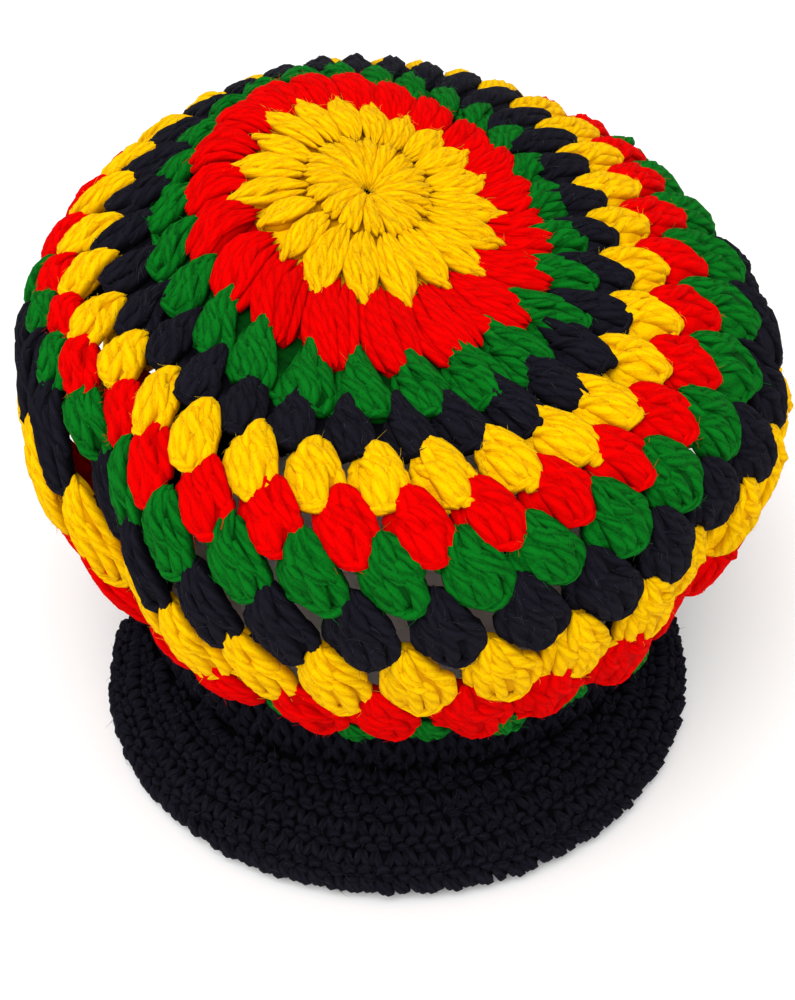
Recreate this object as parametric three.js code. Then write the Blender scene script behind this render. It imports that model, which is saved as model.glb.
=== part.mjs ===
// Rasta tam: a slouchy crocheted hat with a peak, as it keeps its own form on a table.
// Millimetres, +Z up. The peak points along -Y, and angles go round the head from there:
// 0 degrees is the front, 90 degrees is +X. A place on the crown is a row number and an angle:
// row 0 is the centre of the crown, row 1 the edge of the yellow centre, and each round of
// clusters takes one row more, down to row 11, where the crown is sewn to the band.

import * as THREE from 'three';

// Driving dimensions

const crownWidth = 230;        // widest fabric, left to right, on the wall's centre line
const crownDepth = 275;        // widest fabric, front to back
const crownRise = 130.5;       // from the seam at the band up to the centre of the crown
const crownWall = 6;           // thickness of the cluster stitches
const clusterPuff = 1.5;       // how far a cluster stands proud of the wall
const clusterTuck = 0.8;       // how far a round's start lies below the round before it
const seamGap = 0.5;           // clearance between neighbouring pieces

const bandWidth = 176;         // centre line of the band's wall, left to right
const bandDepth = 186;
const bandHeight = 36;
const bandWall = 7;
const bandBulge = 1.2;         // how far the band swells halfway up
const bandTaper = 2;           // how much the rim is drawn in on each side
const bandShift = 1;           // middle of the band, to +X of the middle of the peak

const peakReach = 42;          // from the band to the peak's front edge
const peakFullness = 1.15;     // higher values narrow the peak sooner towards its ends
const peakTurn = -3;           // degrees that the peak is set round the band
const peakHalfAngle = 78;      // degrees from the front to each end of the peak
const peakWall = 8;            // two layers of single crochet
const peakEdgeWall = 5;        // thickness of the rolled outer edge
const peakArch = 4;            // how far its middle stands above its sides
const peakClearance = 0.6;     // lowest point of the peak above the table

const centreHole = 2.2;        // radius of the starting loop's hole
const gatherCount = 14;        // soft pleats where the crown is drawn into the band
const gatherDepth = 2;
const bandStep = 6;            // degrees between the band's facets

const yarn = {
  yellow: { color: 0xfdc807, roughness: 0.92, metalness: 0 },
  red: { color: 0xe60206, roughness: 0.92, metalness: 0 },
  green: { color: 0x0b6a22, roughness: 0.94, metalness: 0 },
  black: { color: 0x141419, roughness: 0.95, metalness: 0 },
};

// Sections of the crown, one at the lower edge of each row. halfWidth and x, the shift of its
// middle, are shares of crownWidth, halfDepth and y of crownDepth, and the rest of crownRise. dip
// lifts the back and lowers the front, lean lifts the +X side and lowers the other.
const sections = [
  { halfWidth: 0, halfDepth: 0, x: -0.03, y: -0.033, height: 1, dip: 0, lean: 0 },
  { halfWidth: 0.164, halfDepth: 0.157, x: -0.031, y: -0.026, height: 0.968, dip: 0.062, lean: -0.056 },
  { halfWidth: 0.219, halfDepth: 0.24, x: -0.029, y: -0.018, height: 0.945, dip: 0.06, lean: -0.044 },
  { halfWidth: 0.279, halfDepth: 0.315, x: -0.022, y: -0.012, height: 0.902, dip: 0.045, lean: -0.03 },
  { halfWidth: 0.345, halfDepth: 0.382, x: -0.02, y: -0.006, height: 0.855, dip: 0.014, lean: -0.024 },
  { halfWidth: 0.41, halfDepth: 0.444, x: -0.019, y: -0.001, height: 0.796, dip: -0.018, lean: -0.014 },
  { halfWidth: 0.467, halfDepth: 0.492, x: -0.011, y: 0.001, height: 0.702, dip: -0.036, lean: 0.01 },
  { halfWidth: 0.497, halfDepth: 0.5, x: 0.005, y: -0.004, height: 0.548, dip: -0.052, lean: 0.036 },
  { halfWidth: 0.5, halfDepth: 0.48, x: 0.018, y: -0.01, height: 0.384, dip: -0.056, lean: 0.055 },
  { halfWidth: 0.467, halfDepth: 0.45, x: 0.024, y: -0.014, height: 0.224, dip: -0.042, lean: 0.06 },
  { halfWidth: 0.412, halfDepth: 0.412, x: 0.03, y: -0.013, height: 0.098, dip: -0.012, lean: 0.012 },
];
// The last section is the top of the band.
const seamSection = {
  halfWidth: bandWidth / 2 / crownWidth,
  halfDepth: bandDepth / 2 / crownDepth,
  x: bandShift / crownWidth,
  y: 0, height: 0, dip: 0, lean: 0,
};
const rowsOfCrown = [...sections, seamSection];
const seamRow = rowsOfCrown.length - 1;

// Folds where the slouched fabric sinks in. angle and spread are degrees, row and length are
// rows, and depth is a share of crownWidth.
const folds = [
  { name: 'left_front_crease', angle: -48, spread: 8, row: 6.9, length: 2.3, depth: 0.052 },
  { name: 'right_front_crease', angle: 47, spread: 8, row: 8.4, length: 1.3, depth: 0.030 },
  { name: 'left_back_fold', angle: -118, spread: 12, row: 8.2, length: 1.8, depth: 0.034 },
  { name: 'back_fold', angle: 172, spread: 11, row: 7.8, length: 2.0, depth: 0.038 },
  { name: 'right_back_fold', angle: 112, spread: 12, row: 8.0, length: 1.8, depth: 0.032 },
];

// Places where the rounds sit lower on the fabric than evenly, or higher where rows is negative.
// angle and spread are degrees, and the rest are rows. It moves the rounds along the surface and
// leaves the surface as it is.
const slips = [
  { name: 'front_centre_low', angle: -20, spread: 70, row: 2.6, length: 1.2, rows: 0.45 },
  { name: 'back_centre_high', angle: 155, spread: 60, row: 2.8, length: 1.5, rows: -1 },
  { name: 'right_side_high', angle: 95, spread: 32, row: 5.2, length: 2.2, rows: -1.1 },
  { name: 'left_lobe_high', angle: -70, spread: 20, row: 7, length: 1.6, rows: -1.1 },
  { name: 'lower_rounds_high', angle: 0, spread: 1000, row: 8.5, length: 2, rows: -0.33 },
];

// Rounds from the centre out. firstAngle places one cluster, tip and notch are how far the
// clusters' lower edge reaches past and stays short of the row's line, in rows, and corner says
// how square a cluster's foot is (0 pointed, 1 square). eyelet is the height, in rows, of the
// open hole left above each cluster of the next round.
const centreRound = {
  name: 'yellow_centre', colour: 'yellow', clusters: 20, firstAngle: -3,
  tip: 0.22, notch: 0.12, corner: 0.35, eyelet: 0,
};
const rounds = [
  { name: 'red_round_1', colour: 'red', clusters: 20, firstAngle: 6, notch: 0.26, eyelet: 0 },
  { name: 'green_round_1', colour: 'green', clusters: 26, firstAngle: -3, notch: 0.26, eyelet: 0 },
  { name: 'black_round_1', colour: 'black', clusters: 32, firstAngle: 5.6, notch: 0.28, eyelet: 0 },
  { name: 'yellow_round_1', colour: 'yellow', clusters: 32, firstAngle: 0, notch: 0.28, eyelet: 0 },
  { name: 'red_round_2', colour: 'red', clusters: 32, firstAngle: 5.6, notch: 0.32, eyelet: 0.3 },
  { name: 'green_round_2', colour: 'green', clusters: 32, firstAngle: 0, notch: 0.34, eyelet: 0.36 },
  { name: 'black_round_2', colour: 'black', clusters: 32, firstAngle: 5.6, notch: 0.34, eyelet: 0.36 },
  { name: 'yellow_round_2', colour: 'yellow', clusters: 32, firstAngle: 0, notch: 0.26, eyelet: 0 },
  { name: 'red_round_3', colour: 'red', clusters: 28, firstAngle: 7, notch: 0.24, eyelet: 0 },
  {
    name: 'green_round_3', colour: 'green', clusters: 28, firstAngle: 0.6, notch: 0, eyelet: 0,
    tip: 0, corner: 1,
  },
].map((round) => ({ tip: 0.16, corner: 0.8, ...round }));
const clusterLean = 0.1;       // a cluster's foot lies this share of its pitch to +X of its top

const degrees = Math.PI / 180;
const down = new THREE.Vector3(0, 0, -1);

// Surface of the crown

// One column of the section table at any row, as a Catmull-Rom curve through its values.
function sectionValue(column, row) {
  const last = seamRow - 1;
  const start = Math.min(Math.max(Math.floor(row), 0), last);
  const value = (index) => rowsOfCrown[index][column];
  const here = value(start);
  const next = value(start + 1);
  const before = start > 0 ? value(start - 1) : 2 * here - next;
  const after = start < last ? value(start + 2) : 2 * next - here;
  const t = row - start;
  return here + 0.5 * t * ((next - before)
    + t * ((2 * before - 5 * here + 4 * next - after)
    + t * (3 * (here - next) + after - before)));
}

function hump(distance, reach) {
  return Math.exp(-((distance / reach) ** 2));
}

function turnBetween(angle, other) {
  return THREE.MathUtils.euclideanModulo(angle - other + 180, 360) - 180;
}

// How far the folds and gathers draw the fabric in at a place. Both fade out at the seam.
function foldDepth(row, angle) {
  const fade = Math.min(1, (seamRow - row) / 1.5);
  let depth = 0;
  for (const fold of folds) {
    depth += fold.depth * crownWidth * hump(turnBetween(angle, fold.angle), fold.spread)
      * hump(row - fold.row, fold.length);
  }
  depth += gatherDepth * Math.cos(gatherCount * angle * degrees) * hump(row - (seamRow - 1), 1);
  return depth * fade;
}

// Rows that a round is moved along the surface at a place. It fades out at the centre and the seam.
function slipOf(row, angle) {
  const fade = Math.min(1, row, (seamRow - row) / 2);
  let rows = 0;
  for (const slip of slips) {
    rows += slip.rows * hump(turnBetween(angle, slip.angle), slip.spread)
      * hump(row - slip.row, slip.length);
  }
  return rows * fade;
}

function crownPoint(row, angle) {
  const across = Math.sin(angle * degrees);
  const along = -Math.cos(angle * degrees);
  const place = row + slipOf(row, angle);
  const inward = foldDepth(place, angle);
  const value = (column) => sectionValue(column, place);
  return new THREE.Vector3(
    crownWidth * value('x') + (crownWidth * value('halfWidth') - inward) * across,
    crownDepth * value('y') + (crownDepth * value('halfDepth') - inward) * along,
    bandHeight + crownRise * (value('height') + value('dip') * along + value('lean') * across),
  );
}

function crownNormal(row, angle) {
  const rowStep = 0.1;
  const angleStep = 3;
  const downRow = crownPoint(row + rowStep, angle).sub(crownPoint(row - rowStep, angle));
  const roundRow = crownPoint(row, angle + angleStep).sub(crownPoint(row, angle - angleStep));
  return downRow.cross(roundRow).normalize();
}

// Surface of the band

function bandNormal(angle) {
  return new THREE.Vector3(
    Math.sin(angle * degrees) / bandWidth,
    -Math.cos(angle * degrees) / bandDepth,
    0,
  ).normalize();
}

// A point of the band's wall: height above the rim, and offset outward from the centre line.
function bandPoint(height, angle, offset) {
  const share = height / bandHeight;
  const inset = bandTaper * (1 - share) - bandBulge * 4 * share * (1 - share);
  const normal = bandNormal(angle);
  return new THREE.Vector3(
    bandShift + bandWidth / 2 * Math.sin(angle * degrees),
    -bandDepth / 2 * Math.cos(angle * degrees),
    height,
  ).addScaledVector(normal, offset - inset);
}

// The wall's direction at the seam, shared by the crown's last round and the band, so that both
// end on the same bisecting face.
function seamNormal(angle) {
  const sum = crownNormal(seamRow - 0.02, angle).add(bandNormal(angle));
  return sum.multiplyScalar(2 / sum.lengthSq());
}

// Loops and meshes

// A loop is a list of points in rising angle, once round the head.
function loop(angles, pointAt) {
  return angles.map((angle) => Object.assign(pointAt(angle), { angle }));
}

function evenAngles(count, first) {
  const step = 360 / count;
  const start = first - step * Math.ceil((first + 180) / step) + step;
  return Array.from({ length: count }, (_, i) => start + i * step);
}

class Skin {
  constructor() {
    this.positions = [];
    this.faces = [];
  }

  addLoop(points) {
    const first = this.positions.length / 3;
    for (const { x, y, z } of points) this.positions.push(x, y, z);
    return { first, angles: points.map((point) => point.angle) };
  }

  // Joins two loops with triangles and always moves on in the loop whose next step has the
  // smaller middle angle. Loops at the same angles give the same diagonals in both pieces that
  // meet there. flip turns the faces round.
  join(loopA, loopB, flip = false) {
    const countA = loopA.angles.length;
    const countB = loopB.angles.length;
    const middle = ({ angles }, i) => angles[i] + 180 / angles.length;
    let a = 0;
    let b = 0;
    while (a < countA || b < countB) {
      const alongA = b === countB || (a < countA && middle(loopA, a) <= middle(loopB, b) + 1e-6);
      const cornerA = loopA.first + a % countA;
      const cornerB = loopB.first + b % countB;
      const tip = alongA
        ? loopA.first + (a + 1) % countA
        : loopB.first + (b + 1) % countB;
      this.faces.push(...(flip ? [cornerA, tip, cornerB] : [cornerA, cornerB, tip]));
      if (alongA) a += 1;
      else b += 1;
    }
  }

  mesh(name, colour) {
    const geometry = new THREE.BufferGeometry();
    geometry.setAttribute('position', new THREE.Float32BufferAttribute(this.positions, 3));
    geometry.setIndex(this.faces);
    geometry.computeVertexNormals();
    const mesh = new THREE.Mesh(geometry, new THREE.MeshStandardMaterial(yarn[colour]));
    mesh.name = name;
    return mesh;
  }
}

// Edges between rounds

// Angle of the first cluster's foot, which leans to +X of the cluster's top.
function footAngle(round) {
  return round.firstAngle + clusterLean * 360 / round.clusters;
}

// Angles of a round's lower edge: the middle, both corners and the notch of each cluster.
function edgeAngles(round) {
  return evenAngles(4 * round.clusters, footAngle(round));
}

// How far an angle lies from the middle of its cluster's foot: 0 at the middle, 0.5 at a
// corner and 1 at the notch between two clusters.
function placeInCluster(round, angle) {
  return Math.abs(turnBetween((angle - footAngle(round)) * round.clusters, 0)) / 180;
}

// Where a round's lower edge runs at an angle, in rows past its line. underEyelet gives the next
// round's start instead, which stays below the open hole.
function edgeShift(round, angle, underEyelet) {
  const place = placeInCluster(round, angle);
  const foot = round.tip - (1 - round.corner) * (round.tip + round.notch) / 2;
  const notch = underEyelet ? round.eyelet - round.notch : -round.notch;
  return place < 0.5
    ? THREE.MathUtils.lerp(round.tip, foot, place * 2)
    : THREE.MathUtils.lerp(foot, notch, place * 2 - 1);
}

// A loop along an edge of the crown: the row line of the round above, moved by that round's
// clusters, half a gap up or down, and out from the wall's centre line. The gap is measured down
// the row, so it widens towards the notch, where the edge runs steeply.
function edgeLoop(round, row, side, offset) {
  return loop(edgeAngles(round), (angle) => {
    const at = row + edgeShift(round, angle, side > 0);
    const rowHeight = crownPoint(at + 0.01, angle).distanceTo(crownPoint(at - 0.01, angle)) / 0.02;
    const halfGap = seamGap / 2 * (1 + placeInCluster(round, angle));
    return crownPoint(at + side * halfGap / rowHeight, angle)
      .addScaledVector(crownNormal(at, angle), offset);
  });
}

function seamAngles() {
  return evenAngles(Math.round(360 / bandStep), 0);
}

// The crown's edge at the seam, half a gap above the band's.
function seamLoop(side, offset) {
  return loop(seamAngles(), (angle) => {
    const edge = side < 0
      ? crownPoint(seamRow - seamGap / 2 / crownRowHeight(angle), angle)
      : crownPoint(seamRow, angle).addScaledVector(down, seamGap / 2);
    return edge.addScaledVector(seamNormal(angle), offset);
  });
}

function crownRowHeight(angle) {
  return crownPoint(seamRow, angle).distanceTo(crownPoint(seamRow - 0.05, angle)) / 0.05;
}

// The pieces

function buildCentre() {
  const skin = new Skin();
  const wall = crownWall / 2;
  const hole = centreHole / (crownWidth * sections[1].halfWidth);
  const ring = (row, count, offset) => loop(evenAngles(count, footAngle(centreRound)), (angle) => (
    crownPoint(row, angle).addScaledVector(crownNormal(row, angle), offset)));
  const loops = [
    ring(hole, 20, wall - clusterTuck),
    ring(0.5, 40, wall + clusterPuff / 2),
    edgeLoop(centreRound, 1, -1, wall + clusterPuff / 2),
    edgeLoop(centreRound, 1, -1, -wall),
    ring(0.5, 40, -wall),
    ring(hole, 20, -wall),
  ].map((points) => skin.addLoop(points));
  loops.forEach((here, i) => skin.join(here, loops[(i + 1) % loops.length]));
  return skin.mesh(centreRound.name, centreRound.colour);
}

// Loop across the middle of a round: proud on each cluster, sunk between two clusters.
function bellyLoop(round, row) {
  const middle = row + 0.5;
  return loop(evenAngles(2 * round.clusters, footAngle(round)), (angle) => {
    const offset = crownWall / 2 + clusterPuff * (1 - 2 * placeInCluster(round, angle));
    return crownPoint(middle, angle).addScaledVector(crownNormal(middle, angle), offset);
  });
}

function buildRound(index) {
  const skin = new Skin();
  const round = rounds[index];
  const above = index > 0 ? rounds[index - 1] : centreRound;
  const row = index + 1;
  const wall = crownWall / 2;
  const isLast = index === rounds.length - 1;
  const lowerEdge = (offset) => (isLast
    ? seamLoop(-1, offset)
    : edgeLoop(round, row + 1, -1, offset));
  const outerTop = skin.addLoop(edgeLoop(above, row, 1, wall - clusterTuck));
  const belly = skin.addLoop(bellyLoop(round, row));
  const outerFoot = skin.addLoop(lowerEdge(wall));
  const innerFoot = skin.addLoop(lowerEdge(-wall));
  const innerTop = skin.addLoop(edgeLoop(above, row, 1, -wall));
  skin.join(outerTop, belly);
  skin.join(belly, outerFoot);
  skin.join(outerFoot, innerFoot);
  skin.join(innerFoot, innerTop);
  skin.join(outerTop, innerTop, true);
  return skin.mesh(round.name, round.colour);
}

function buildBand() {
  const skin = new Skin();
  const wall = bandWall / 2;
  const ring = (height, offset) => loop(seamAngles(), (angle) => bandPoint(height, angle, offset));
  const outerTop = skin.addLoop(seamLoop(1, wall));
  const outerMiddle = skin.addLoop(ring(bandHeight / 2, wall));
  const outerRim = skin.addLoop(ring(0, wall));
  const innerRim = skin.addLoop(ring(0, -wall));
  const innerTop = skin.addLoop(seamLoop(1, -wall));
  skin.join(outerTop, outerMiddle);
  skin.join(outerMiddle, outerRim);
  skin.join(outerRim, innerRim);
  skin.join(innerRim, innerTop);
  skin.join(outerTop, innerTop, true);
  return skin.mesh('band', 'black');
}

// Heights of the peak's underside: its middle arches up, and it droops towards its front edge.
function peakUnderside(angle, share) {
  const arch = Math.cos(angle * degrees) ** 2;
  return peakClearance + peakArch * arch * (1 - 0.5 * share);
}

function peakThickness(share) {
  const edge = (peakWall - peakEdgeWall) * share ** 4;
  return peakWall - edge;
}

function peakSection(angle) {
  const reach = peakReach * Math.cos((angle - peakTurn) * degrees) ** peakFullness;
  const normal = bandNormal(angle);
  const along = (share, height) => bandPoint(height, angle, bandWall / 2 + seamGap)
    .addScaledVector(normal, reach * share);
  const under = (share) => along(share, peakUnderside(angle, share));
  const top = (share) => along(share, peakUnderside(angle, share) + peakThickness(share));
  return [under(0), top(0), top(0.35), top(0.7), top(1), under(1), under(0.5)];
}

function buildPeak() {
  const skin = new Skin();
  const angles = seamAngles().filter((angle) => Math.abs(angle) <= peakHalfAngle + 1e-6);
  const size = peakSection(0).length;
  for (const angle of angles) {
    for (const point of peakSection(angle)) skin.positions.push(point.x, point.y, point.z);
  }
  for (let station = 0; station < angles.length - 1; station += 1) {
    for (let corner = 0; corner < size; corner += 1) {
      const a = station * size + corner;
      const b = station * size + (corner + 1) % size;
      skin.faces.push(a, b, a + size, b, b + size, a + size);
    }
  }
  const end = (angles.length - 1) * size;
  for (let corner = 1; corner < size - 1; corner += 1) {
    skin.faces.push(0, corner + 1, corner);
    skin.faces.push(end, end + corner, end + corner + 1);
  }
  return skin.mesh('peak', 'black');
}

// The hat stands with the middle of its outline over the origin and its rim on the table.
function standOnOrigin(model) {
  const middle = new THREE.Box3().setFromObject(model).getCenter(new THREE.Vector3());
  model.position.set(-middle.x, -middle.y, 0);
  return model;
}

const hat = new THREE.Group();
hat.name = 'rasta_tam';
hat.add(buildCentre());
rounds.forEach((_, index) => hat.add(buildRound(index)));
hat.add(buildBand());
hat.add(buildPeak());

export default standOnOrigin(hat);
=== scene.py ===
"""A slouchy crocheted tam with a short peak, dressed stitch by stitch in worsted yarn."""

import logging
import math
from dataclasses import dataclass, field, replace
from enum import Enum
from functools import cache, partial

import bpy
import numpy as np
from mathutils import Matrix, Vector


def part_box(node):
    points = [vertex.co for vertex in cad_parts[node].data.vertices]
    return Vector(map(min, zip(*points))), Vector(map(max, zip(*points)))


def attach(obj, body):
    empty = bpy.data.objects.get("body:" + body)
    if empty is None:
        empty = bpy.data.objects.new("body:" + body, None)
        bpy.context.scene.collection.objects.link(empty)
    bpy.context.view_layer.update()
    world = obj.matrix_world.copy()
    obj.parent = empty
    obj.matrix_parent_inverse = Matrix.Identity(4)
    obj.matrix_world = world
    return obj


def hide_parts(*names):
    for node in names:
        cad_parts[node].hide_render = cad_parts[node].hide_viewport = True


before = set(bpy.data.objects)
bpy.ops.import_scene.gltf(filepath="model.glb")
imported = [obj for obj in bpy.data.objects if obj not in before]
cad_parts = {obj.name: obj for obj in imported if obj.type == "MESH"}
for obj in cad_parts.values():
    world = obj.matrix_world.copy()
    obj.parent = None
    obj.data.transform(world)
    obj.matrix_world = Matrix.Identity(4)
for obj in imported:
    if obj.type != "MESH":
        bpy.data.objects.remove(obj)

MM = 0.001
IMAGE_HEIGHT = 1000

log = logging.getLogger("tam")


class Yarn(Enum):
    """The four yarns, named as the record's material slots are."""

    YELLOW = "yellow_yarn"
    RED = "red_yarn"
    GREEN = "green_yarn"
    BLACK = "black_yarn"


# Values at the start, middle and end of a strand, or along X, Y and Z.
Three = tuple[float, float, float]

# Places along a strand from 0 to 1, closer together at its ends. Towards both ends the yarn
# rounds off, to an eighth of its radius, and dives 1.2 mm into the fabric.
ALONG = 0.5 - 0.5 * np.cos(np.pi * np.arange(7) / 6)
END_ROUND = np.sqrt(1 - 0.985 * np.abs(2 * ALONG - 1) ** 5)
END_DIP = 1.2 * np.abs(2 * ALONG - 1) ** 6

# The shade that tells a loose fibre from a strand, whose shade is from 0 to 1.
LOOSE = 2.0


def srgb(hex_colour: str) -> tuple[float, float, float, float]:
    """Turn an sRGB hex colour into linear values.

    Args:
        hex_colour: six hex digits, such as "fdc807".

    Returns:
        Linear red, green, blue and an alpha of 1.
    """
    values = [int(hex_colour[i:i + 2], 16) / 255 for i in (0, 2, 4)]
    linear = [v / 12.92 if v <= 0.04045 else ((v + 0.055) / 1.055) ** 2.4 for v in values]
    return (*linear, 1.0)


def unit(vectors: np.ndarray) -> np.ndarray:
    """Scale vectors along the last axis to length 1."""
    return vectors / np.maximum(np.linalg.norm(vectors, axis=-1, keepdims=True), 1e-12)


def corner_turns(corners: int) -> np.ndarray:
    """Radians of evenly spaced corners round a closed section."""
    return 2 * np.pi * np.arange(corners) / corners


def smooth_through(table: np.ndarray, position: np.ndarray) -> np.ndarray:
    """Read a table at fractional positions with a Catmull-Rom curve through its rows.

    Between two rows it is the cubic that passes through both and leaves each one parallel to
    the line between its two neighbours.

    Args:
        table: rows of values, as (rows, columns).
        position: row numbers of any shape, whole or fractional.

    Returns:
        Values of shape position.shape + (columns,).
    """
    padded = np.concatenate([[2 * table[0] - table[1]], table, [2 * table[-1] - table[-2]]])
    start = np.clip(np.floor(position), 0, len(table) - 2).astype(int)
    t = (position - start)[..., None]
    before, here, following, after = (padded[start + k] for k in range(4))
    return here + 0.5 * t * ((following - before)
                             + t * ((2 * before - 5 * here + 4 * following - after)
                                    + t * (3 * (here - following) + after - before)))


def read_profile(values: tuple[float, ...], share: np.ndarray) -> np.ndarray:
    """Read evenly spaced values smoothly at shares of the way from the first to the last."""
    column = np.array(values)[:, None]
    return smooth_through(column, np.clip(share, 0, 1) * (len(values) - 1))[..., 0]


# Strands and meshes


@dataclass(frozen=True)
class Strand:
    """One stretch of yarn in a stitch, given at its start, middle and end.

    across is a share of the stitch's half width at that place, down a share of its height from
    the top, and lift is in millimetres above the stitch's own surface. thickness scales the
    yarn, and stray the chance differences from stitch to stitch.
    """

    across: Three
    down: Three
    lift: Three = (0.0, 0.0, 0.0)
    thickness: float = 1.0
    stray: float = 1.0


def strand_curves(strands: tuple[Strand, ...]) -> np.ndarray:
    """Read the parabolas through the start, middle and end of strands at the places ALONG.

    Args:
        strands: the strands of one stitch.

    Returns:
        Across, down and lift, as (3, strands, places).
    """
    ends = np.array([(strand.across, strand.down, strand.lift) for strand in strands])
    start, middle, end = ends.transpose(2, 1, 0)[..., None]
    t = ALONG
    return start * (1 - t) * (1 - 2 * t) + 4 * middle * t * (1 - t) + end * t * (2 * t - 1)


@dataclass(frozen=True)
class Frames:
    """Places of many small stitches, with their own directions and sizes in metres."""

    middle: np.ndarray
    side: np.ndarray
    ahead: np.ndarray
    out: np.ndarray
    width: np.ndarray | float
    height: np.ndarray | float


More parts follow.
